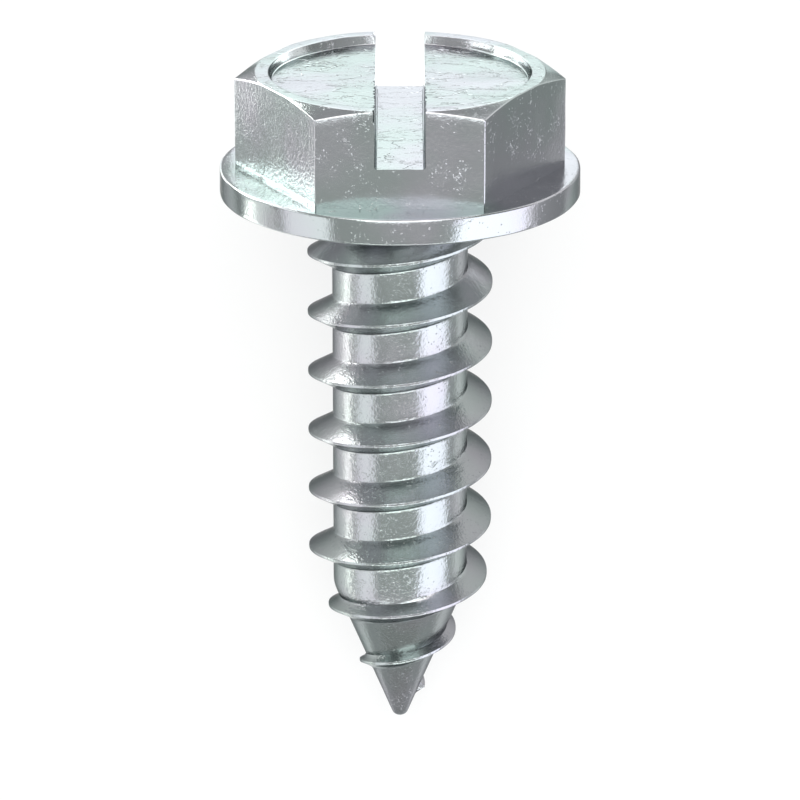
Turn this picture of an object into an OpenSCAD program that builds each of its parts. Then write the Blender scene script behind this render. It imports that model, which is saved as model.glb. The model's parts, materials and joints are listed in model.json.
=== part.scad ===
// Slotted hex washer head sheet metal screw with a gimlet point.
// It is drawn standing, with the middle of the face under its washer at the origin,
// and then laid down on the rim of the washer and on a crest of the thread.

/* [Hexagon] */
// Width across the flats of the hexagon
hex_af = 6.36; // [5.8:0.02:6.8]
// Height of the head, from the face under the washer to the top
head_h = 2.77; // [2.5:0.01:3.1]
// How far the chamfer brings each corner down below the top
corner_drop = 0.19; // [0.1:0.01:0.3]
// Slope of the corner chamfer, in degrees below level
chamfer_slope = 22.5; // [18:0.5:30]

/* [Indentation] */
// Width of the raised rim round the indentation, at the middle of a flat
rim_w = 0.27; // [0.2:0.01:0.5]
// Depth of the indentation in the top
indent_depth = 0.2; // [0.1:0.01:0.4]
// How far the wall of the indentation leans inwards over its depth
indent_draft = 0.03; // [0.01:0.01:0.1]

/* [Slot] */
// Width of the slot
slot_w = 1.11; // [0.9:0.01:1.4]
// Depth of the slot below the top
slot_depth = 1.3; // [0.9:0.01:1.6]

/* [Washer] */
// Diameter of the washer that is forged with the head
washer_d = 8.02; // [7.9:0.02:9]
// Thickness of the washer
washer_t = 0.58; // [0.4:0.01:0.8]
// Width of the broken edges of the washer
washer_edge = 0.04; // [0.02:0.01:0.1]

/* [Shank] */
// Length from the face under the washer to the tip
shank_l = 12.7; // [9.5:0.1:25]
// Diameter of the core between the threads
core_d = 3.04; // [2.9:0.01:3.1]
// Radius of the fillet under the washer, wide enough to keep the thread off the face
neck_r = 0.6; // [0.58:0.01:0.75]
// Full angle of the point
point_angle = 45; // [40:0.5:50]
// Radius of the rounding between the core and the point
shoulder_r = 0.7; // [0.3:0.05:0.74]
// Radius of the rounded tip
tip_r = 0.2; // [0.1:0.01:0.25]

/* [Thread] */
// Diameter over the crests of the thread
major_d = 4.15; // [4:0.01:4.2]
// Distance between turns
pitch = 1.411; // [1.2:0.001:1.6]
// Full angle between the two flanks
flank_angle = 60; // [50:1:60]
// Width of the flat along the crest
crest_w = 0.08; // [0.04:0.01:0.14]
// Height above the tip at which the crest starts to close in
taper_h = 3.7; // [3.4:0.1:4.4]
// Slope of the closing crest, in degrees off the axis
taper_slope = 26.7; // [25:0.1:28]
// Height of the cut end of the thread above the tip
thread_end_h = 0.64; // [0.6:0.01:1]
// Direction of the cut end round the axis, in degrees from the right
thread_end_turn = -15; // [-60:1:60]
// Height left between the thread and the face under the washer
thread_gap = 0.33; // [0.2:0.01:0.5]
// Degrees over which the thread dies out under the washer
runout = 80; // [40:5:160]

/* [Hidden] */

corner_r = hex_af / 2 / cos(30);
land_r = corner_r - corner_drop / tan(chamfer_slope);
indent_r = hex_af / 2 - rim_w;
washer_r = washer_d / 2;
core_r = core_d / 2;
major_r = major_d / 2;
point_half = point_angle / 2;
flank_half = flank_angle / 2;

// The cone of the point would end in a sharp apex below the rounded tip
tip_centre_z = tip_r - shank_l;
apex_z = tip_centre_z - tip_r / sin(point_half);
cone_top_z = apex_z + core_r / tan(point_half);
taper_z = taper_h - shank_l;

// Path of the thread, from its cut end near the tip to its run-out
thread_end_z = thread_end_h - shank_l;
thread_turn = 360 * (-thread_gap - thread_end_z) / pitch;
steps_per_turn = 40;
thread_steps = ceil(thread_turn * steps_per_turn / 360);
// How deep the foot of the thread lies inside the core
foot = 0.1;
// What a cutting shape stands past the face that it cuts
past = 1;

// The screw lies on the rim of its washer and on the last full crest on its lower side,
// which is the far side while it stands
lower_side = 90;
first_low_z = thread_end_z + pitch * (lower_side - thread_end_turn) / 360;
rest_turns = ceil((taper_z - first_low_z) / pitch);
rest_z = first_low_z + pitch * rest_turns - crest_w / 2;
tilt = atan((washer_r - major_r) / (washer_edge - rest_z));
lift = washer_r * cos(tilt) - washer_edge * sin(tilt);
head_reach = hex_af / 2 * sin(tilt) + head_h * cos(tilt);
tip_reach = (shank_l - tip_r) * cos(tilt) + tip_r;

function on_core(z) = min(core_r, (z - apex_z) * tan(point_half));
function on_crest(z) = min(major_r, major_r - (taper_z - z) * tan(taper_slope));
function thread_z(turn) = thread_end_z + pitch * turn / 360;

// The thread sinks into the core over its last stretch under the washer
function left_of_thread(turn) = min(1, (thread_turn - turn) / runout);
function crest_r(turn) =
    let (inside = core_r - foot / 2)
    inside + (on_crest(thread_z(turn)) - inside) * left_of_thread(turn);

// Four corners of the thread's section: lower foot, lower and upper edge of the crest, upper foot
function thread_section(turn) =
    let (
        z = thread_z(turn),
        r = crest_r(turn),
        flank = tan(flank_half),
        reach = crest_w / 2 + (r - on_core(z)) * flank,
        low_r = on_core(z - reach) - foot,
        high_r = on_core(z + reach) - foot
    )
    [
        [low_r, z - crest_w / 2 - (r - low_r) * flank],
        [r, z - crest_w / 2],
        [r, z + crest_w / 2],
        [high_r, z + crest_w / 2 + (r - high_r) * flank]
    ];

// Right-handed: it climbs as it turns counter-clockwise, seen from the head
module thread() {
    turns = [for (i = [0:thread_steps]) thread_turn * i / thread_steps];
    points = [
        for (turn = turns)
            for (corner = thread_section(turn))
                [
                    corner[0] * cos(thread_end_turn + turn),
                    corner[0] * sin(thread_end_turn + turn),
                    corner[1]
                ]
    ];
    last = 4 * thread_steps;
    sides = [
        for (i = [0:thread_steps - 1])
            for (j = [0:3])
                let (a = 4 * i + j, b = 4 * i + (j + 1) % 4)
                    each [[a, b, b + 4], [a, b + 4, a + 4]]
    ];
    cut_end = [[3, 2, 1], [3, 1, 0]];
    top_end = [[last, last + 1, last + 2], [last, last + 2, last + 3]];
    polyhedron(points = points, faces = concat(cut_end, sides, top_end));
}

// Half outline of the core and its point, with sharp corners
module core_outline() {
    polygon([
        [0, past * 0.2],
        [core_r, past * 0.2],
        [core_r, cone_top_z],
        [tip_r * cos(point_half), tip_centre_z - tip_r * sin(point_half)],
        [0, tip_centre_z - tip_r * sin(point_half)]
    ]);
}

// What the rounding takes off the corner between the core and the point
module shoulder_cut() {
    reach = shoulder_r * tan(point_half / 2);
    difference() {
        polygon([
            [core_r - reach * sin(point_half), cone_top_z - reach * cos(point_half)],
            [core_r, cone_top_z],
            [core_r, cone_top_z + reach]
        ]);
        translate([core_r - shoulder_r, cone_top_z + reach]) circle(r = shoulder_r, $fn = 128);
    }
}

module core() {
    rotate_extrude($fn = 96) {
        difference() {
            core_outline();
            shoulder_cut();
        }
        intersection() {
            translate([0, tip_centre_z]) circle(r = tip_r, $fn = 48);
            translate([0, tip_centre_z - tip_r]) square(tip_r);
        }
    }
}

module neck_fillet() {
    rotate_extrude($fn = 96) difference() {
        translate([0, -neck_r]) square([core_r + neck_r, neck_r + washer_t / 2]);
        translate([core_r + neck_r, -neck_r]) circle(r = neck_r, $fn = 64);
    }
}

module washer() {
    edge = washer_edge;
    rotate_extrude($fn = 128) polygon([
        [0, 0],
        [washer_r - edge, 0],
        [washer_r, edge],
        [washer_r, washer_t - edge],
        [washer_r - edge, washer_t],
        [0, washer_t]
    ]);
}

// Hexagonal prism under the cone that takes its corners down
module hexagon() {
    slope = tan(chamfer_slope);
    intersection() {
        cylinder(r = corner_r, h = head_h, $fn = 6);
        rotate_extrude($fn = 128) polygon([
            [0, 0],
            [land_r + head_h / slope, 0],
            [land_r, head_h],
            [0, head_h]
        ]);
    }
}

module indentation() {
    translate([0, 0, head_h - indent_depth])
        cylinder(r1 = indent_r - indent_draft, r2 = indent_r, h = indent_depth, $fn = 128);
    translate([0, 0, head_h]) cylinder(r = indent_r, h = past, $fn = 128);
}

module slot() {
    translate([-slot_w / 2, -corner_r - past, head_h - slot_depth])
        cube([slot_w, 2 * (corner_r + past), slot_depth + past]);
}

module standing_screw() {
    difference() {
        hexagon();
        indentation();
        slot();
    }
    washer();
    neck_fillet();
    core();
    thread();
}

module screw() {
    color("lightsteelblue")
        translate([0, (tip_reach - head_reach) / 2, lift])
        rotate([tilt - 90, 0, 0])
        standing_screw();
}

screw();
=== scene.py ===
import json
from math import atan2, cos, pi, radians, sin, sqrt, tan

import bmesh
import bpy
from mathutils import Matrix, Vector, noise


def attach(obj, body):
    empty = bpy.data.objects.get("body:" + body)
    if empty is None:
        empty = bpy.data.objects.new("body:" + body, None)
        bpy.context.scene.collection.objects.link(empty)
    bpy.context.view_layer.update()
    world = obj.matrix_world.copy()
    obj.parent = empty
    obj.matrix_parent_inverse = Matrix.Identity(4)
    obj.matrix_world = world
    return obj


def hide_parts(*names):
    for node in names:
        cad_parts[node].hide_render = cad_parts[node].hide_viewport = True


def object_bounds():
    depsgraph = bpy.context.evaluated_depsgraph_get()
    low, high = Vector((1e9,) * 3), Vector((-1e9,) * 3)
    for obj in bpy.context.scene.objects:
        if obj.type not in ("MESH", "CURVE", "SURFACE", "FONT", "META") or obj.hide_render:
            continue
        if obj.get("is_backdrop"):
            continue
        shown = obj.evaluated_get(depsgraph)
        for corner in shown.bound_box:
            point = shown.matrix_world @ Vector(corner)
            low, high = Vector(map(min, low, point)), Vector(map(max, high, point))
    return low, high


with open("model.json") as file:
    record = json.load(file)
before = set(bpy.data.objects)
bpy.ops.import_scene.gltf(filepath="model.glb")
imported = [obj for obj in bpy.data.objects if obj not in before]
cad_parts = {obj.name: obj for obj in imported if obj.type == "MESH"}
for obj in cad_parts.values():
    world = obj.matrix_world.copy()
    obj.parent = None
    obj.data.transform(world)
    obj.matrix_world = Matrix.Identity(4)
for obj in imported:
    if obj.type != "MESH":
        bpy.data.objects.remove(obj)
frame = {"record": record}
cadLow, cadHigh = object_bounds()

# The screw is built standing, in millimetres, with the middle of the face under its washer
# at the origin and its head up, and is then laid where the record says that face is.
millimetre = 0.001
bearing = next(m for m in frame["record"]["mounts"] if m["name"] == "bearing_face")
toHead = -Vector(bearing["axis"]).normalized()
toRight = Vector((1, 0, 0))
toFront = -toHead.cross(toRight)  # the side that the photograph shows, which faces up once it lies
turned = Matrix((toRight, -toFront, toHead)).transposed()
standingToRow = (
    Matrix.Translation(Vector(bearing["pos_m"])) @ turned.to_4x4() @ Matrix.Scale(millimetre, 4)
)


def linear(hexColour):  # an sRGB hex colour as the linear one that a socket takes
    channels = [int(hexColour[i : i + 2], 16) / 255 for i in (1, 3, 5)]
    return [c / 12.92 if c < 0.04045 else ((c + 0.055) / 1.055) ** 2.4 for c in channels] + [1]


def addNode(tree, kind, *inputs, named=(), **settings):  # a node with its settings, values and links
    node = tree.nodes.new(kind)
    for name, value in settings.items():
        setattr(node, name, value)
    for key, value in [*enumerate(inputs), *dict(named).items()]:
        if isinstance(value, bpy.types.NodeSocket):
            tree.links.new(value, node.inputs[key])
        elif value is not None:
            node.inputs[key].default_value = value
    return node.outputs[0] if node.outputs else node


# Camera: the photograph's view of the standing screw, carried over to the lying one
photoView = {
    "lookDown": 19.93,       # degrees above the plane of the washer
    "distance": 116.37,      # mm to the point of the axis in the middle of the picture
    "middleHeight": -4.974,  # mm, height of that point above the face under the washer
    "lens": 231.63,          # mm, on a sensor 36 mm wide
}


def addCamera(view):
    down = radians(view["lookDown"])
    toCamera = toFront * cos(down) + toHead * sin(down)
    imageUp = toHead * cos(down) - toFront * sin(down)
    data = bpy.data.cameras.new("photoCamera")
    data.lens = view["lens"]
    data.sensor_width = 36
    data.clip_start = 0.002
    camera = bpy.data.objects.new("photoCamera", data)
    middle = standingToRow @ Vector((0, 0, view["middleHeight"]))
    place = Matrix.Translation(middle + toCamera * view["distance"] * millimetre)
    camera.matrix_world = place @ Matrix((toRight, imageUp, toCamera)).transposed().to_4x4()
    bpy.context.scene.collection.objects.link(camera)
    bpy.context.scene.camera = camera


addCamera(photoView)
print("camera placed")


# Zinc-plated steel: cold headed and thread rolled, then plated and passivated clear, which
# gives the eye a bright metal with a faint cyan and lavender film, creased where the die
# pressed it, dented round the hexagon, and peppered with specks of the plating
zincFinish = {
    "film": ("#C3CBCA", "#C7C7CC"),  # cyan and lavender parts of the film
    "filmSize": 2.2,        # mm across a patch of film
    "filmBlend": (0.4, 0.6),  # of the patches' noise, over which one colour turns to the other
    "creaseSpan": 0.45,     # mm from crease to crease on the pressed faces
    "creaseStretch": 3.0,   # how much longer a crease is than it is far from the next
    "creaseWidth": 0.012,   # of the creases' noise
    "creaseDepth": 0.008,   # mm
    "swellDepth": 0.002,    # mm, of the soft swell between the creases
    "dentSpan": 0.085,      # mm from dent to dent
    "dentDepth": 0.015,     # mm, on the side where the die is worn
    "dentElsewhere": 0.24,  # share of that depth on the other sides
    "dentOnShank": 0.55,    # and on the rolled shank
    "grainSpan": 0.05,      # mm, real grains are finer than this but would not show
    "grainDepth": 0.0016,   # mm
    "rolledGrain": 2.4,     # how many times as deep the grain is on the rolled shank
    "rolledRough": 0.04,    # and how much rougher the shank is
    "crowdScale": 1.3,      # crowds of specks and scratches to the mm
    "speckShare": (0.015, 0.8),  # share of the cells that hold a speck, outside crowds and inside
    "speckCrowd": (0.46, 0.68),  # of the crowds' noise, over which the one turns to the other
    "speckSpan": 0.06,      # mm from speck to speck where they crowd
    "speckEdge": (0.1, 0.3),     # of a cell, from a speck's full height out to nothing
    "raggedScale": 32,      # notches in the outline of a speck to the mm
    "raggedDepth": 0.06,    # mm
    "scratchSpan": 0.8,     # mm across a curl of a scratch
    "scratchEdge": (0.002, 0.007),  # of the scratches' noise, from full height out to nothing
    "scratchCrowd": (0.57, 0.61),   # of the crowds' noise, where scratches begin
    "speckDepth": 0.006,    # mm
    "speckMetal": 0.45,     # a speck is more salt than metal
    "roughness": (0.13, 0.22),
    "roughBlend": (0.35, 0.7),  # of the patches' noise, over which the one turns to the other
    "shankDull": 0.05,      # share of its shine that the rolled shank lacks
    "flankPaintedShade": 0.3,       # painted shade: how much darker besides the flanks that look to the head are, for the shade in the grooves of the thread
    "edgeTint": "#808484",  # how much the film dulls what is seen at a low angle
    "paintedLiftTint": "#D0D4D4",  # painted light: a lighter tint on the flanks that look to the point, which lifts their dim reflection of the shaded floor under the shank
    # How much a face looks to the head, or to the worn side, where each of these begins and is full
    "pressedFacing": (0.93, 0.98),
    "uprightFacing": (0.3, 0.1),
    "paintedShadeFacing": (0.6, 0.8),
    "paintedLiftFacing": (-0.6, -0.75),
    "wornFacing": (0.2, 0.7),
    # Heights in mm over the face under the washer, between which each of these begins and is full
    "headHeights": (0.6, 0.7),
    "shankHeights": (0, -0.1),
    "creasedHeights": (0.8, 1.2),
    "creasedBelow": 0.1,    # how deep the creases are below them, as a share
}


def zincPlatedSteel(finish):
    material = bpy.data.materials.new("zincPlatedSteel")
    material.use_nodes = True
    tree = material.node_tree
    shader = tree.nodes["Principled BSDF"]
    coordinates = tree.nodes.new("ShaderNodeTexCoord").outputs
    moved, turn, scale = standingToRow.decompose()
    place = addNode(tree, "ShaderNodeMapping", coordinates["Object"], moved, turn.to_euler(), scale,
                    vector_type="TEXTURE")  # in standing millimetres
    height = addNode(tree, "ShaderNodeSeparateXYZ", place).node.outputs["Z"]

    # How much a face looks to the head, and which faces are creased, upright or rolled
    facing = addNode(tree, "ShaderNodeVectorMath", coordinates["Normal"], toHead,
                     operation="DOT_PRODUCT").node.outputs["Value"]
    pressed = addNode(tree, "ShaderNodeMapRange", facing, *finish["pressedFacing"])
    aboveWasher = addNode(tree, "ShaderNodeMapRange", height, *finish["creasedHeights"],
                          finish["creasedBelow"], 1)
    pressed = addNode(tree, "ShaderNodeMath", pressed, aboveWasher, operation="MULTIPLY")
    upright = addNode(tree, "ShaderNodeMapRange", facing, *finish["uprightFacing"])
    onHead = addNode(tree, "ShaderNodeMapRange", height, *finish["headHeights"])
    onSide = addNode(tree, "ShaderNodeMath", upright, onHead, operation="MULTIPLY")
    rolled = addNode(tree, "ShaderNodeMapRange", height, *finish["shankHeights"])

    # Swell and creases, stretched across the head
    span = 1 / finish["creaseSpan"]
    stretched = addNode(tree, "ShaderNodeVectorMath", place,
                        (span / finish["creaseStretch"], span, span), operation="MULTIPLY")
    swell = addNode(tree, "ShaderNodeTexNoise", stretched,
                    named={"Scale": 1, "Detail": 3, "Distortion": 0.5})
    crease = addNode(tree, "ShaderNodeMath", swell, 0.5, operation="SUBTRACT")
    crease = addNode(tree, "ShaderNodeMath", crease, operation="ABSOLUTE")
    crease = addNode(tree, "ShaderNodeMapRange", crease, 0, finish["creaseWidth"])

    # Dents and grain
    dents = addNode(tree, "ShaderNodeTexNoise", place,
                    named={"Scale": 1 / finish["dentSpan"], "Detail": 3, "Roughness": 0.6})
    worn = addNode(tree, "ShaderNodeVectorMath", coordinates["Normal"], -toRight,
                   operation="DOT_PRODUCT").node.outputs["Value"]
    worn = addNode(tree, "ShaderNodeMapRange", worn, *finish["wornFacing"],
                   finish["dentElsewhere"], 1)
    dented = addNode(tree, "ShaderNodeMath", onSide, worn, operation="MULTIPLY")
    dented = addNode(tree, "ShaderNodeMath", dented, finish["dentElsewhere"], operation="MAXIMUM")
    onShank = addNode(tree, "ShaderNodeMath", rolled, finish["dentOnShank"], operation="MULTIPLY")
    dented = addNode(tree, "ShaderNodeMath", dented, onShank, operation="MAXIMUM")
    grains = addNode(tree, "ShaderNodeTexNoise", place,
                     named={"Scale": 1 / finish["grainSpan"], "Detail": 2})
    grained = addNode(tree, "ShaderNodeMath", rolled, finish["rolledGrain"] - 1, 1,
                      operation="MULTIPLY_ADD")

    # Specks, one to a chosen cell, with ragged outlines
    crowds = addNode(tree, "ShaderNodeTexNoise", place,
                     named={"Scale": finish["crowdScale"], "Detail": 5, "Roughness": 0.7})
    share = addNode(tree, "ShaderNodeMapRange", crowds, *finish["speckCrowd"], *finish["speckShare"])
    shift = addNode(tree, "ShaderNodeTexNoise", place,
                    named={"Scale": finish["raggedScale"], "Detail": 1}).node.outputs["Color"]
    ragged = addNode(tree, "ShaderNodeVectorMath", shift, [finish["raggedDepth"]] * 3, place,
                     operation="MULTIPLY_ADD")
    cells = addNode(tree, "ShaderNodeTexVoronoi", ragged, named={"Scale": 1 / finish["speckSpan"]})
    chance = addNode(tree, "ShaderNodeSeparateColor", cells.node.outputs["Color"])
    chosen = addNode(tree, "ShaderNodeMath", chance, share, operation="LESS_THAN")
    specks = addNode(tree, "ShaderNodeMapRange", cells, *finish["speckEdge"], 1, 0)
    specks = addNode(tree, "ShaderNodeMath", specks, chosen, operation="MULTIPLY")

    # Scratches, where the specks crowd
    scratch = addNode(tree, "ShaderNodeTexNoise", place, named={
        "Scale": 1 / finish["scratchSpan"], "Detail": 4, "Roughness": 0.6, "Distortion": 1.5,
    })
    scratch = addNode(tree, "ShaderNodeMath", scratch, 0.5, operation="SUBTRACT")
    scratch = addNode(tree, "ShaderNodeMath", scratch, operation="ABSOLUTE")
    scratch = addNode(tree, "ShaderNodeMapRange", scratch, *finish["scratchEdge"], 1, 0)
    crowded = addNode(tree, "ShaderNodeMapRange", crowds, *finish["scratchCrowd"])
    scratch = addNode(tree, "ShaderNodeMath", scratch, crowded, operation="MULTIPLY")
    specks = addNode(tree, "ShaderNodeMath", specks, scratch, operation="MAXIMUM")
    metal = addNode(tree, "ShaderNodeMapRange", specks, 0, 1, 1, finish["speckMetal"])
    tree.links.new(metal, shader.inputs["Metallic"])

    # Relief: each layer, where it is, and its depth in mm
    relief = 0
    for layer, where, depth in (
        (swell, pressed, finish["swellDepth"]),
        (crease, pressed, finish["creaseDepth"]),
        (dents, dented, finish["dentDepth"]),
        (grains, grained, finish["grainDepth"]),
        (specks, 1, finish["speckDepth"]),
    ):
        shared = addNode(tree, "ShaderNodeMath", layer, where, operation="MULTIPLY")
        relief = addNode(tree, "ShaderNodeMath", shared, depth * millimetre, relief,
                         operation="MULTIPLY_ADD")
    bump = addNode(tree, "ShaderNodeBump", named={"Height": relief, "Strength": 1, "Distance": 1})
    tree.links.new(bump, shader.inputs["Normal"])

    # Film: two colours in patches, duller on the shank, and painted shade darkens its upper flanks in
    # the grooves of the thread
    patches = addNode(tree, "ShaderNodeTexNoise", place,
                      named={"Scale": 1 / finish["filmSize"], "Detail": 3})
    patch = addNode(tree, "ShaderNodeMapRange", patches, *finish["filmBlend"])
    first, second = map(linear, finish["film"])
    film = addNode(tree, "ShaderNodeMix", patch, named={6: first, 7: second},
                   data_type="RGBA").node.outputs[2]
    shadedFlankMask = addNode(tree, "ShaderNodeMapRange", facing, *finish["paintedShadeFacing"])
    shadedFlankMask = addNode(tree, "ShaderNodeMath", shadedFlankMask, rolled, operation="MULTIPLY")
    shineAndPaintedShade = addNode(tree, "ShaderNodeMath", rolled, -finish["shankDull"], 1, operation="MULTIPLY_ADD")
    shineAndPaintedShade = addNode(tree, "ShaderNodeMath", shadedFlankMask, -finish["flankPaintedShade"], shineAndPaintedShade,
                    operation="MULTIPLY_ADD")
    film = addNode(tree, "ShaderNodeVectorMath", film, named={"Scale": shineAndPaintedShade}, operation="SCALE")
    tree.links.new(film, shader.inputs["Base Color"])

    # What is seen at a low angle, with painted light on the flanks that look to the point
    paintedLiftMask = addNode(tree, "ShaderNodeMapRange", facing, *finish["paintedLiftFacing"])
    tints = linear(finish["edgeTint"]), linear(finish["paintedLiftTint"])
    tint = addNode(tree, "ShaderNodeMix", paintedLiftMask, named={6: tints[0], 7: tints[1]},
                   data_type="RGBA").node.outputs[2]
    tree.links.new(tint, shader.inputs["Specular Tint"])

    gloss = addNode(tree, "ShaderNodeMapRange", patches, *finish["roughBlend"], *finish["roughness"])
    gloss = addNode(tree, "ShaderNodeMath", rolled, finish["rolledRough"], gloss,
                    operation="MULTIPLY_ADD")
    tree.links.new(gloss, shader.inputs["Roughness"])
    return material


zinc = zincPlatedSteel(zincFinish)
print("zinc finish made")


# Shank: core, point and rolled thread as one skin, whose radius follows from height and turn
shank = {
    "columns": 144,          # points round the axis
    "rowsPerTurn": 34,       # rows of points between two crests
    "coreR": 1.52,
    "majorR": 2.075,
    "crestW": 0.06,
    "pitch": 1.411,
    "flankSlope": tan(radians(30)),
    "pointHalf": radians(22.5),  # half the angle of the point
    "tipR": 0.2,
    "length": 12.7,
    "neckR": 0.6,
    "endHeight": 0.7,        # of the cut end of the thread, above the tip
    "endTurn": 0,            # degrees round the axis from the right
    "taperHeight": 3.7,      # above the tip, where the crest starts to close in
    "taperSlope": tan(radians(26.7)),
    "threadGap": 0.33,       # left between the thread and the washer
    "runout": 80,            # degrees over which the thread dies out
    "seamTurn": 90,          # degrees round the axis from the right, the side away from the camera
    "neckTop": -0.12,        # height at which the skin stops and the neck's rings go on
    "sheetTurns": 11,        # turns of the sheet that is wrapped, cut off at both ends of the skin
    "turnsBelow": 2.5,       # how many of them lie below the cut end of the thread
    "sunk": 0.05,            # how deep the crest lies in the core where the thread has died out
    "weld": 0.0015,          # points nearer than this are one
    "ringSteps": 6,          # rings of points over the tip, and over the rest of the neck
    "crestRound": 0.01,
    "rootRound": 0.07,
    "shoulderRound": 0.08,
    "unevenness": 0.012,     # mm that the rolled skin wanders
    "wanderScale": 1.4,      # waves of it to the mm
    "endSlack": 0.1,         # degrees before the cut end that still count as thread
}
tipCentre = shank["tipR"] - shank["length"]
shank["pointSlope"] = tan(shank["pointHalf"])
shank["apexZ"] = tipCentre - shank["tipR"] / sin(shank["pointHalf"])
shank["skinBottom"] = tipCentre - shank["tipR"] * sin(shank["pointHalf"])
shank["endZ"] = shank["endHeight"] - shank["length"]
shank["taperZ"] = shank["taperHeight"] - shank["length"]
shank["threadTurn"] = 360 * (-shank["threadGap"] - shank["endZ"]) / shank["pitch"]
shank["firstTurn"] = shank["seamTurn"] - shank["endTurn"]


def skinTree(sizes):
    tree = bpy.data.node_groups.new("rolledShank", "GeometryNodeTree")
    inside = tree.nodes.new("NodeGroupInput")
    identifiers = {}
    for name, value in sizes.items():
        socket = tree.interface.new_socket(name, in_out="INPUT", socket_type="NodeSocketFloat")
        socket.default_value = value
        identifiers[name] = socket.identifier
    tree.interface.new_socket("Skin", in_out="OUTPUT", socket_type="NodeSocketGeometry")
    size = {name: inside.outputs[name] for name in sizes}

    # A flat sheet: across is once round the axis, up is turn after turn of the thread
    turns = sizes["sheetTurns"]
    rows = turns * sizes["rowsPerTurn"] + 1
    sheet = addNode(tree, "GeometryNodeMeshGrid", 1, turns, sizes["columns"] + 1, rows)
    sheetPlace = tree.nodes.new("ShaderNodeSeparateXYZ")
    tree.links.new(tree.nodes.new("GeometryNodeInputPosition").outputs[0], sheetPlace.inputs[0])
    across = addNode(tree, "ShaderNodeMath", sheetPlace.outputs["X"], 0.5, operation="ADD")
    start = turns / 2 - sizes["turnsBelow"]
    up = addNode(tree, "ShaderNodeMath", sheetPlace.outputs["Y"], start, operation="ADD")
    whole = addNode(tree, "ShaderNodeMath", up, operation="ROUND")
    part = addNode(tree, "ShaderNodeMath", up, whole, operation="SUBTRACT")

    # Rows crowd at the crest and at the feet of the flanks: which share of the rows, counted
    # from the crest, is within which share of half a pitch
    rowCurve = ((0.27, 0.1), (0.5, 0.4), (0.8, 0.62))
    side = addNode(tree, "ShaderNodeMath", part, operation="SIGN")
    away = addNode(tree, "ShaderNodeMath", part, operation="ABSOLUTE")
    away = addNode(tree, "ShaderNodeMath", away, 2, operation="MULTIPLY")
    crowding = tree.nodes.new("ShaderNodeFloatCurve")
    curve = crowding.mapping.curves[0]
    for share, reach in rowCurve:
        curve.points.new(share, reach)
    for point in curve.points:
        point.handle_type = "VECTOR"
    crowding.mapping.update()
    tree.links.new(away, crowding.inputs["Value"])
    reach = addNode(tree, "ShaderNodeMath", crowding.outputs[0], side, operation="MULTIPLY")
    reach = addNode(tree, "ShaderNodeMath", reach, size["pitch"], operation="MULTIPLY")
    reach = addNode(tree, "ShaderNodeMath", reach, 0.5, operation="MULTIPLY")

    # The nearest crest: its turn from the cut end, in degrees, and its height
    turn = addNode(tree, "ShaderNodeMath", across, whole, operation="ADD")
    turn = addNode(tree, "ShaderNodeMath", turn, 360, size["firstTurn"], operation="MULTIPLY_ADD")
    climb = addNode(tree, "ShaderNodeMath", turn, 360, operation="DIVIDE")
    crestZ = addNode(tree, "ShaderNodeMath", climb, size["pitch"], size["endZ"],
                     operation="MULTIPLY_ADD")
    z = addNode(tree, "ShaderNodeMath", crestZ, reach, operation="ADD")
    z = addNode(tree, "ShaderNodeMath", z, size["skinBottom"], operation="MAXIMUM")
    z = addNode(tree, "ShaderNodeMath", z, size["neckTop"], operation="MINIMUM")

    # Radius of the crest: it closes in near the point and sinks into the core under the washer
    below = addNode(tree, "ShaderNodeMath", size["taperZ"], crestZ, operation="SUBTRACT")
    below = addNode(tree, "ShaderNodeMath", below, size["taperSlope"], operation="MULTIPLY")
    below = addNode(tree, "ShaderNodeMath", below, 0, operation="MAXIMUM")
    crestR = addNode(tree, "ShaderNodeMath", size["majorR"], below, operation="SUBTRACT")
    sunkR = addNode(tree, "ShaderNodeMath", size["coreR"], size["sunk"], operation="SUBTRACT")
    stands = addNode(tree, "ShaderNodeMath", crestR, sunkR, operation="SUBTRACT")
    left = addNode(tree, "ShaderNodeMath", size["threadTurn"], turn, operation="SUBTRACT")
    left = addNode(tree, "ShaderNodeMath", left, size["runout"], operation="DIVIDE", use_clamp=True)
    crestR = addNode(tree, "ShaderNodeMath", stands, left, sunkR, operation="MULTIPLY_ADD")

    # Radius of the flank at this distance from the crest, cut off before the thread's end
    off = addNode(tree, "ShaderNodeMath", z, crestZ, operation="SUBTRACT")
    off = addNode(tree, "ShaderNodeMath", off, operation="ABSOLUTE")
    half = addNode(tree, "ShaderNodeMath", size["crestW"], 0.5, operation="MULTIPLY")
    off = addNode(tree, "ShaderNodeMath", off, half, operation="SUBTRACT")
    drop = addNode(tree, "ShaderNodeMath", off, size["flankSlope"], operation="DIVIDE")
    flankR = addNode(tree, "ShaderNodeMath", crestR, drop, operation="SUBTRACT")
    threadR = addNode(tree, "ShaderNodeMath", crestR, flankR, size["crestRound"],
                      operation="SMOOTH_MIN")
    started = addNode(tree, "ShaderNodeMath", turn, -sizes["endSlack"], operation="GREATER_THAN")
    threadR = addNode(tree, "ShaderNodeMath", threadR, started, operation="MULTIPLY")

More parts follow.
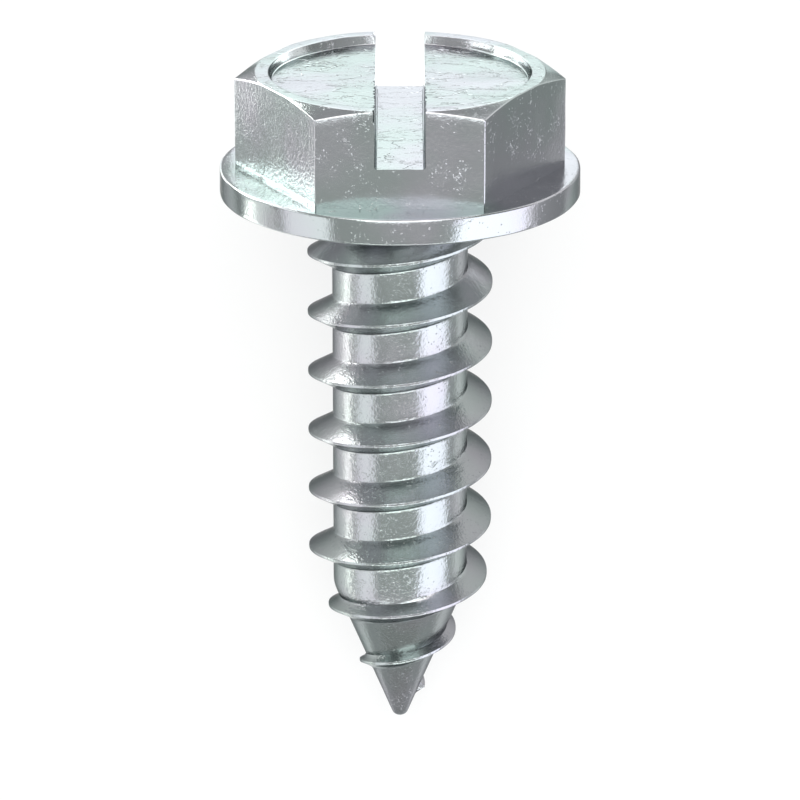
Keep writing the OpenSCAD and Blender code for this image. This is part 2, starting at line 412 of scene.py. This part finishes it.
    # Radius of the core, its point and its neck
    cone = addNode(tree, "ShaderNodeMath", z, size["apexZ"], operation="SUBTRACT")
    cone = addNode(tree, "ShaderNodeMath", cone, size["pointSlope"], operation="MULTIPLY")
    coreR = addNode(tree, "ShaderNodeMath", size["coreR"], cone, size["shoulderRound"],
                    operation="SMOOTH_MIN")
    neck = addNode(tree, "ShaderNodeMath", z, size["neckR"], operation="ADD")
    neck = addNode(tree, "ShaderNodeMath", neck, 0, operation="MAXIMUM")
    neck = addNode(tree, "ShaderNodeMath", neck, neck, operation="MULTIPLY")
    square = addNode(tree, "ShaderNodeMath", size["neckR"], size["neckR"], operation="MULTIPLY")
    neck = addNode(tree, "ShaderNodeMath", square, neck, operation="SUBTRACT")
    neck = addNode(tree, "ShaderNodeMath", neck, operation="SQRT")
    neck = addNode(tree, "ShaderNodeMath", size["neckR"], neck, operation="SUBTRACT")
    coreR = addNode(tree, "ShaderNodeMath", coreR, neck, operation="ADD")
    radius = addNode(tree, "ShaderNodeMath", coreR, threadR, size["rootRound"],
                     operation="SMOOTH_MAX")

    # Wrap the sheet round the axis and join its edges
    angle = addNode(tree, "ShaderNodeMath", across, 2 * pi, radians(sizes["seamTurn"]),
                    operation="MULTIPLY_ADD")
    x = addNode(tree, "ShaderNodeMath", angle, operation="COSINE")
    x = addNode(tree, "ShaderNodeMath", x, radius, operation="MULTIPLY")
    y = addNode(tree, "ShaderNodeMath", angle, operation="SINE")
    y = addNode(tree, "ShaderNodeMath", y, radius, operation="MULTIPLY")
    wrapped = addNode(tree, "ShaderNodeCombineXYZ", x, y, z)
    skin = addNode(tree, "GeometryNodeSetPosition", sheet, named={"Position": wrapped})
    skin = addNode(tree, "GeometryNodeMergeByDistance", skin, named={"Distance": size["weld"]})

    # Rolling leaves the skin slightly uneven, and W is the seed of that
    wander = addNode(tree, "ShaderNodeTexNoise",
                     named={"W": 3, "Scale": size["wanderScale"], "Detail": 2},
                     noise_dimensions="4D")
    wander = addNode(tree, "ShaderNodeMath", wander, 0.5, operation="SUBTRACT")
    wander = addNode(tree, "ShaderNodeMath", wander, size["unevenness"], operation="MULTIPLY")
    normal = tree.nodes.new("GeometryNodeInputNormal").outputs[0]
    wander = addNode(tree, "ShaderNodeVectorMath", normal, named={"Scale": wander}, operation="SCALE")
    skin = addNode(tree, "GeometryNodeSetPosition", skin, named={"Offset": wander})

    skin = addNode(tree, "GeometryNodeRealizeInstances", skin)
    skin = addNode(tree, "GeometryNodeSetMaterial", skin, named={"Material": zinc})
    addNode(tree, "NodeGroupOutput", skin)
    return tree, identifiers


def shankMesh(sizes):
    tree, identifiers = skinTree(sizes)
    carrier = bpy.data.objects.new("shankCarrier", bpy.data.meshes.new("shankCarrier"))
    bpy.context.scene.collection.objects.link(carrier)
    modifier = carrier.modifiers.new("rolledShank", "NODES")
    modifier.node_group = tree
    for name, identifier in identifiers.items():
        modifier[identifier] = float(sizes[name])
    seen = carrier.evaluated_get(bpy.context.evaluated_depsgraph_get())
    mesh = bpy.data.meshes.new_from_object(seen)
    bpy.data.objects.remove(carrier)
    return mesh


def turnOf(vertex):
    return atan2(vertex.co.y, vertex.co.x)


def openRings(skin):  # the skin's bottom and top rings of points, each in order round the axis
    edge = {v for e in skin.edges if e.is_boundary for v in e.verts}
    middle = -shank["length"] / 2
    bottom = sorted((v for v in edge if v.co.z < middle), key=turnOf)
    top = sorted((v for v in edge if v.co.z > middle), key=turnOf)
    return bottom, top


def addRing(skin, points):
    return [skin.verts.new(p) for p in points]


def joinRings(skin, lower, upper):  # equal rings
    for i, vertex in enumerate(lower):
        skin.faces.new((lower[i - 1], vertex, upper[i], upper[i - 1]))


def stitchRings(skin, lower, upper):  # rings of unlike counts, both in order round the axis
    i = j = 0
    while i < len(lower) or j < len(upper):
        if j == len(upper) or (i < len(lower) and i * len(upper) <= j * len(lower)):
            skin.faces.new((lower[i % len(lower)], lower[(i + 1) % len(lower)], upper[j % len(upper)]))
            i += 1
        else:
            skin.faces.new((upper[(j + 1) % len(upper)], upper[j % len(upper)], lower[i % len(lower)]))
            j += 1


def closeTip(skin, ring):
    steps = shank["ringSteps"]
    halfCone = shank["pointHalf"]
    for step in range(1, steps):
        angle = halfCone + (pi / 2 - halfCone) * step / steps
        r = shank["tipR"] * cos(angle)
        z = tipCentre - shank["tipR"] * sin(angle)
        following = addRing(skin, [(r * cos(turnOf(v)), r * sin(turnOf(v)), z) for v in ring])
        joinRings(skin, following, ring)
        ring = following
    pole = skin.verts.new((0, 0, -shank["length"]))
    for i, vertex in enumerate(ring):
        skin.faces.new((pole, vertex, ring[i - 1]))


def openNeck(skin, ring):  # the rest of the fillet, up to the face under the washer
    steps = shank["ringSteps"]
    start = sqrt(1 - ((shank["neckTop"] + shank["neckR"]) / shank["neckR"]) ** 2)
    for step in range(1, steps + 1):
        sink = start * (1 - step / steps)  # the fillet's own cosine, from its start to level
        r = shank["coreR"] + shank["neckR"] * (1 - sink)
        z = shank["neckR"] * (sqrt(1 - sink * sink) - 1)
        following = addRing(skin, [(r * cos(turnOf(v)), r * sin(turnOf(v)), z) for v in ring])
        joinRings(skin, ring, following)
        ring = following
    return ring


# Head: washer and hexagon, forged as one with the shank
head = {
    "acrossFlats": 6.36,
    "height": 2.77,
    "cornerRound": 0.05,
    "cornerDrop": 0.19,      # how far the chamfer brings each corner down
    "chamferSlope": tan(radians(22.5)),
    "creaseBlend": 0.03,     # mm over which the chamfer turns to the top
    "edgeRound": 0.022,
    "rimWidth": 0.27,        # of the raised rim, at the middle of a flat
    "indentDepth": 0.2,
    "indentDraft": 0.06,     # how far its wall leans in
    "indentFillet": 0.03,    # round its floor
    "washerR": 4.01,
    "washerT": 0.58,
    "washerEdge": 0.04,
    "unevenness": 0.008,
    "unevenSeed": 1,         # noise_vector otherwise takes one from the clock
    "waveScale": 1.3,        # waves of it to the mm
    "sharpFrom": 34,         # degrees between two faces from which their edge is sharp
    "flatPoints": 40,        # points along a flat of the hexagon
    "cornerPoints": 7,
    "arcStep": 18,           # degrees from ring to ring on a rounded edge
    "filletStep": 10,
    "rimSteps": 7,           # rings up the washer's rim
    "sideSteps": 12,         # and up the hexagon
    "underRing": 3.0,        # mm, radius of a ring on the face under the washer
    "ringGap": 0.02,         # mm from the last ring on that face to its edge
    "washerRings": (0.12, 0.35, 0.6, 0.85, 1),  # shares of the way in to the hexagon
    "edgeRings": (0.06, 0.2, 0.43, 0.7, 1),     # shares of the way over the rounded edge
    "creaseRings": (1, 0.5, 0, -0.5, -1),       # shares of creaseBlend beyond the crease
    "creaseLean": 0.125,     # share of that by which rings stay apart at the corners
    "edgeKeep": 1.2,         # how many edge radii the chamfer's rings keep from the edge
    "landGap": 0.035,        # mm from the crease to the first ring of the raised rim
    "landRings": (0.25, 0.5, 0.75, 1),          # shares of the way in over the raised rim
    "wallRing": 0.75,        # share of the way up the wall of the indentation
    "floorRings": (2.6, 2.2, 1.8, 1.4, 1.0, 0.6, 0.25),  # mm
}
head["apothem"] = head["acrossFlats"] / 2
head["landR"] = head["apothem"] / cos(pi / 6) - head["cornerDrop"] / head["chamferSlope"]
head["indentR"] = head["apothem"] - head["rimWidth"]


def hexagonOutline(sizes):  # points round the hexagon, with its corners rounded
    outline = []
    r = sizes["cornerRound"]
    reach = (sizes["apothem"] - r) / cos(pi / 6)
    for corner in range(6):
        middle = corner * pi / 3
        centre = Vector((cos(middle), sin(middle))) * reach
        last = sizes["cornerPoints"] - 1
        for step in range(last + 1):
            angle = middle + (step / last - 0.5) * pi / 3
            outline.append(centre + Vector((cos(angle), sin(angle))) * r)
        normal = Vector((cos(middle + pi / 6), sin(middle + pi / 6)))
        start = outline[-1]
        nextMiddle = middle + pi / 3
        end = Vector((cos(nextMiddle), sin(nextMiddle))) * reach + normal * r
        for step in range(1, sizes["flatPoints"]):
            outline.append(start.lerp(end, step / sizes["flatPoints"]))
    return sorted(outline, key=lambda p: atan2(p.y, p.x))


def headTop(r):  # height of the top at that distance from the axis, before the edge is rounded
    blend = head["creaseBlend"]
    past = r - head["landR"]
    soft = 0 if past < -blend else past if past > blend else (past + blend) ** 2 / (4 * blend)
    return head["height"] - soft * head["chamferSlope"]


def rounded(inset, r):  # drop of a rounded edge at that distance in from it
    return r - sqrt(r * r - (r - inset) ** 2) if inset < r else 0


def addHead(skin, ring):
    outline = hexagonOutline(head)
    rings = []

    def circle(r, z):
        rings.append([(p.x / p.length * r, p.y / p.length * r, z) for p in outline])

    edge = head["washerEdge"]
    washerR = head["washerR"]
    washerT = head["washerT"]
    arc = [radians(turn) for turn in range(0, 91, head["arcStep"])]
    circle(head["underRing"], 0)
    circle(washerR - edge - head["ringGap"], 0)
    for a in arc:
        circle(washerR - edge * (1 - sin(a)), edge * (1 - cos(a)))
    for step in range(1, head["rimSteps"]):
        circle(washerR, edge + (washerT - 2 * edge) * step / head["rimSteps"])
    for a in arc:
        circle(washerR - edge * (1 - cos(a)), washerT - edge * (1 - sin(a)))

    # Top of the washer, from its rim in to the foot of the hexagon
    for share in head["washerRings"]:
        rings.append([
            (*(p.normalized() * (washerR - edge)).lerp(p, share), washerT) for p in outline
        ])

    # Sides of the hexagon, each column up to where the chamfer or the top meets it
    soft = head["edgeRound"]
    steps = head["sideSteps"]
    for step in range(1, steps + 1):
        rings.append([
            (*p, washerT + (headTop(p.length) - soft - washerT) * step / steps) for p in outline
        ])
    for share in head["edgeRings"]:
        inset = share * soft
        rings.append([
            (*p.normalized() * (p.length - inset), headTop(p.length - inset) - rounded(inset, soft))
            for p in outline
        ])

    # Chamfer, its crease and the raised rim
    limits = [p.length - head["edgeKeep"] * soft for p in outline]
    for share in head["creaseRings"]:
        past = share * head["creaseBlend"]
        radii = [min(head["landR"] + past, r + past * head["creaseLean"]) for r in limits]
        rings.append([(*p.normalized() * r, headTop(r)) for p, r in zip(outline, radii)])
    rimR = head["indentR"] + soft
    starts = [min(head["landR"], r) - head["landGap"] for r in limits]
    for share in head["landRings"]:
        rings.append([(*p.normalized() * (r + (rimR - r) * share), head["height"])
                      for p, r in zip(outline, starts)])

    # Wall of the indentation, rounded above and filleted below
    for a in arc[1:]:
        circle(rimR - soft * sin(a), head["height"] - soft * (1 - cos(a)))
    floorZ = head["height"] - head["indentDepth"]
    floorR = head["indentR"] - head["indentDraft"]
    fillet = head["indentFillet"]
    up = head["wallRing"]
    circle(floorR + (head["indentR"] - floorR) * up, floorZ + head["indentDepth"] * up)
    for turn in range(0, 91, head["filletStep"]):
        a = radians(turn)
        circle(floorR - fillet * (1 - cos(a)), floorZ + fillet * (1 - sin(a)))
    for r in head["floorRings"]:
        circle(r, floorZ)

    noise.seed_set(head["unevenSeed"])
    drift = head["unevenness"]
    waves = head["waveScale"]
    for i, points in enumerate(rings):
        if points[0][2] > 0:  # the face under the washer stays flat
            points = [Vector(p) + noise.noise_vector(Vector(p) * waves) * drift for p in points]
        following = addRing(skin, points)
        (stitchRings if i == 0 else joinRings)(skin, ring, following)
        ring = following
    skin.faces.new(ring)


# Slot: a sawn channel across the hexagon, with burred and nicked edges
slot = {
    "width": 1.11,
    "depth": 1.3,
    "floorRound": 0.06,
    "burrSpan": 0.2,     # mm from nick to nick along its edges
    "burrDepth": 0.06,
    "burrAcross": 9,     # how unlike the nicks of the two walls are
    "burrUp": 2,         # nicks to the mm, up a wall
    "nicks": ((-0.14, 0), (-0.05, 0.35), (0, 1), (0.1, 0.6)),  # mm over its edge, share of depth
    "floorArc": (0, 0.5, 1, 1.3, pi / 2),  # radians round the floor's rounded edge
    "wallPoint": 0.5,    # mm from the floor to the first point above that edge
    "pastTop": 0.5,      # mm that the cutter stands over the head
    "halfLength": 4.4,   # mm, of the cutter
    "stations": 180,     # sections along the cutter
}


def slotCutter(sizes):
    half = sizes["width"] / 2
    floorZ = head["height"] - sizes["depth"]
    edgeZ = head["height"] - head["indentDepth"]
    r = sizes["floorRound"]
    top = head["height"]
    # Points up one side: across, height, and share of the nicks' depth
    side = [(half - r * (1 - sin(a)), floorZ + r * (1 - cos(a)), 0) for a in sizes["floorArc"]]
    side += [(half, floorZ + sizes["wallPoint"], 0)]
    side += [(half, edgeZ + over, share) for over, share in sizes["nicks"]]
    side += [(half, top, 1), (half, top + sizes["pastTop"], 1)]
    section = side + [(-x, z, weight) for x, z, weight in reversed(side)]
    reach = sizes["halfLength"]
    cutter = bmesh.new()
    rings = []
    for station in range(sizes["stations"] + 1):
        y = reach * (2 * station / sizes["stations"] - 1)
        points = []
        for x, z, weight in section:
            bite = noise.noise(Vector((
                2 * y / sizes["burrSpan"], x * sizes["burrAcross"], z * sizes["burrUp"],
            )))
            bite = max(0, bite) * sizes["burrDepth"] * 2 * weight
            points.append((x + (bite if x > 0 else -bite), y, z))
        rings.append(addRing(cutter, points))
    for first, second in zip(rings, rings[1:]):
        joinRings(cutter, first, second)
    cutter.faces.new(rings[0])
    cutter.faces.new(rings[-1])
    bmesh.ops.recalc_face_normals(cutter, faces=cutter.faces)
    return cutter


def addObject(name, skin):
    mesh = bpy.data.meshes.new(name)
    skin.to_mesh(mesh)
    skin.free()
    made = bpy.data.objects.new(name, mesh)
    bpy.context.scene.collection.objects.link(made)
    return made


def finished(made):  # the object's mesh with its modifiers applied
    seen = made.evaluated_get(bpy.context.evaluated_depsgraph_get())
    mesh = bpy.data.meshes.new_from_object(seen)
    made.modifiers.clear()
    made.data = mesh


def addScrew():
    skin = bmesh.new()
    skin.from_mesh(shankMesh(shank))
    bottom, top = openRings(skin)
    print("shank rings", len(bottom), len(top), "faces", len(skin.faces))
    closeTip(skin, bottom)
    addHead(skin, openNeck(skin, top))
    bmesh.ops.recalc_face_normals(skin, faces=skin.faces)
    screw = addObject("hexWasherScrew", skin)
    cutter = addObject("slotCutter", slotCutter(slot))
    cut = screw.modifiers.new("slot", "BOOLEAN")
    cut.object = cutter
    cut.operation = "DIFFERENCE"
    cut.solver = "EXACT"
    finished(screw)
    bpy.data.objects.remove(cutter)

    screw.data.transform(standingToRow)
    screw.data.materials.clear()
    screw.data.materials.append(zinc)
    screw.data.shade_smooth()
    screw.data.set_sharp_from_angle(angle=radians(head["sharpFrom"]))
    weighted = screw.modifiers.new("weightedNormal", "WEIGHTED_NORMAL")
    weighted.keep_sharp = True
    finished(screw)
    return screw


screw = addScrew()
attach(screw, "root")
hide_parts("screw")
print("screw made,", len(screw.data.polygons), "faces")


# Studio: a white floor, soft lights, and grey cards that only the metal mirrors
studio = {
    "floorColour": "#FBFBFA",
    "floorWidth": 2.0,     # m
    "whiteShare": 0.75,    # of the floor that is plain white to the camera and in the metal
    "horizon": 0.28,       # brightness of the room round the floor, where 1 is white
    "ceiling": 0.5,
    "ceilingFrom": 0.8,    # sine of the elevation from which the room is that bright
    "roomColour": "#F2F5F4",
    "cardColour": "#969898",
    "cardHeight": 0.02,    # mm over the floor
    "paperRoughness": 0.9,
}
# Each soft light: its middle in mm, the way it shines, the way its width runs, its width and
# height in mm, its brightness, where 1 is white, and its colour. The low ones lie on the floor
# and shine up, and stand for the bright surroundings that the head and the thread mirror.
lights = {
    "besideCamera": ((0, 33, 250), (0, -0.13, -0.99), toRight, 220, 234, 2.25, "#F5F9F8"),
    "beyondHead": ((0, 190, 165), (0, -0.75, -0.66), toRight, 290, 160, 1.9, "#FCF6F7"),
    "right": ((208, -107, 90), (-0.83, 0.43, -0.36), Vector((0.45, 0.2, -0.9)), 245, 180, 1.6,
              "#F3F1FF"),
    "left": ((-211, -111, 92), (0.84, 0.44, -0.37), Vector((0.45, -0.2, 0.9)), 150, 180, 0.93,
             "#F9F8FD"),
    "lowBeyondHead": ((0.2, 11.3, 0.05), (0, 0, 1), toRight, 8.2, 11.4, 2.3, "#F6FAFA"),
    "lowAtLeft": ((-15.2, 13.6, 0.05), (0, 0, 1), toRight, 18, 8, 11, "#FFFCFA"),
    "lowBesideHead": ((-6.6, 6.6, 0.05), (0, 0, 1), toRight, 3.8, 2.8, 4, "#FFFCFA"),
    "lowBesideShank": ((-15.3, -7.3, 0.05), (0, 0, 1), toRight, 7.6, 17.4, 2.2, "#FDFDF6"),
    "beyondPoint": ((0, -190, 146), (0, 0.79, -0.61), toRight, 250, 40, 3, "#F4FAF7"),
    "leftBeyondHead": ((-235, 122, 76), (0.85, -0.45, -0.27), Vector((0.45, 0.85, 0)), 130, 110, 2.2,
                       "#F6FAF9"),
}
# Each card: lowest and highest x and y in mm
cards = {
    "cardAtRight": (9.4, -9.6, 70, 7.5),
    "cardBeyondHead": (-60, 18, 9.3, 70),
    "cardBelowPoint": (-70, -110, 70, -9.7),
    "cardAtLeft": (-13.6, 1.5, -9.5, 7),
}


def paper(name, colour):  # matt paper, which gives the eye one even tone
    material = bpy.data.materials.new(name)
    material.use_nodes = True
    tree = material.node_tree
    shader = tree.nodes["Principled BSDF"]
    shader.inputs["Base Color"].default_value = linear(colour)
    shader.inputs["Roughness"].default_value = studio["paperRoughness"]
    shader.inputs["Specular IOR Level"].default_value = 0
    return material


def whiteToCamera(material, share):  # a share of the sheet's look is plain white, shadow or not
    tree = material.node_tree
    path = tree.nodes.new("ShaderNodeLightPath").outputs
    seen = addNode(tree, "ShaderNodeMath", path["Is Camera Ray"], path["Is Glossy Ray"],
                   operation="ADD")
    seen = addNode(tree, "ShaderNodeMath", seen, path["Is Transmission Ray"], operation="ADD")
    seen = addNode(tree, "ShaderNodeMath", seen, share, operation="MULTIPLY")
    white = addNode(tree, "ShaderNodeEmission", (1, 1, 1, 1), 1)
    mixed = addNode(tree, "ShaderNodeMixShader", seen, tree.nodes["Principled BSDF"].outputs[0], white)
    tree.links.new(mixed, tree.nodes["Material Output"].inputs["Surface"])
    return material


def addSheet(name, corners, height, material):
    skin = bmesh.new()
    x0, y0, x1, y1 = (millimetre * c for c in corners)
    skin.faces.new([skin.verts.new(p) for p in (
        (x0, y0, height), (x1, y0, height), (x1, y1, height), (x0, y1, height),
    )])
    sheet = addObject(name, skin)
    sheet.data.materials.append(material)
    sheet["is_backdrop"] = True
    return sheet


def addWorld():
    world = bpy.data.worlds.new("studio")
    world.use_nodes = True
    tree = world.node_tree
    parts = tree.nodes.new("ShaderNodeSeparateXYZ")
    tree.links.new(tree.nodes.new("ShaderNodeTexCoord").outputs["Generated"], parts.inputs[0])
    brightness = addNode(tree, "ShaderNodeMapRange", parts.outputs["Z"], 0, studio["ceilingFrom"],
                         studio["horizon"], studio["ceiling"])
    background = tree.nodes["Background"]
    background.inputs["Color"].default_value = linear(studio["roomColour"])
    tree.links.new(brightness, background.inputs["Strength"])
    bpy.context.scene.world = world


def addLight(name, middle, shines, widthWay, width, height, brightness, colour):
    data = bpy.data.lights.new(name, "AREA")
    data.shape = "RECTANGLE"
    data.size = width * millimetre
    data.size_y = height * millimetre
    data.energy = brightness * pi * data.size * data.size_y
    data.color = linear(colour)[:3]
    light = bpy.data.objects.new(name, data)
    back = -Vector(shines).normalized()
    heightWay = back.cross(widthWay).normalized()
    axes = Matrix((heightWay.cross(back), heightWay, back)).transposed().to_4x4()
    light.matrix_world = Matrix.Translation(Vector(middle) * millimetre) @ axes
    light.visible_camera = False
    bpy.context.scene.collection.objects.link(light)


half = studio["floorWidth"] / 2 / millimetre
whitePaper = whiteToCamera(paper("whitePaper", studio["floorColour"]), studio["whiteShare"])
addSheet("floor", (-half, -half, half, half), 0, whitePaper)
greyPaper = paper("greyPaper", studio["cardColour"])
for name, corners in cards.items():
    card = addSheet(name, corners, studio["cardHeight"] * millimetre, greyPaper)
    card.visible_camera = False
    card.visible_diffuse = False
    card.visible_shadow = False
addWorld()
for name, settings in lights.items():
    addLight(name, *settings)
bpy.context.scene.view_settings.view_transform = "Standard"
print("studio lit")

low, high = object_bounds()
corners = {"cad": [list(cadLow), list(cadHigh)], "scene": [list(low), list(high)]}
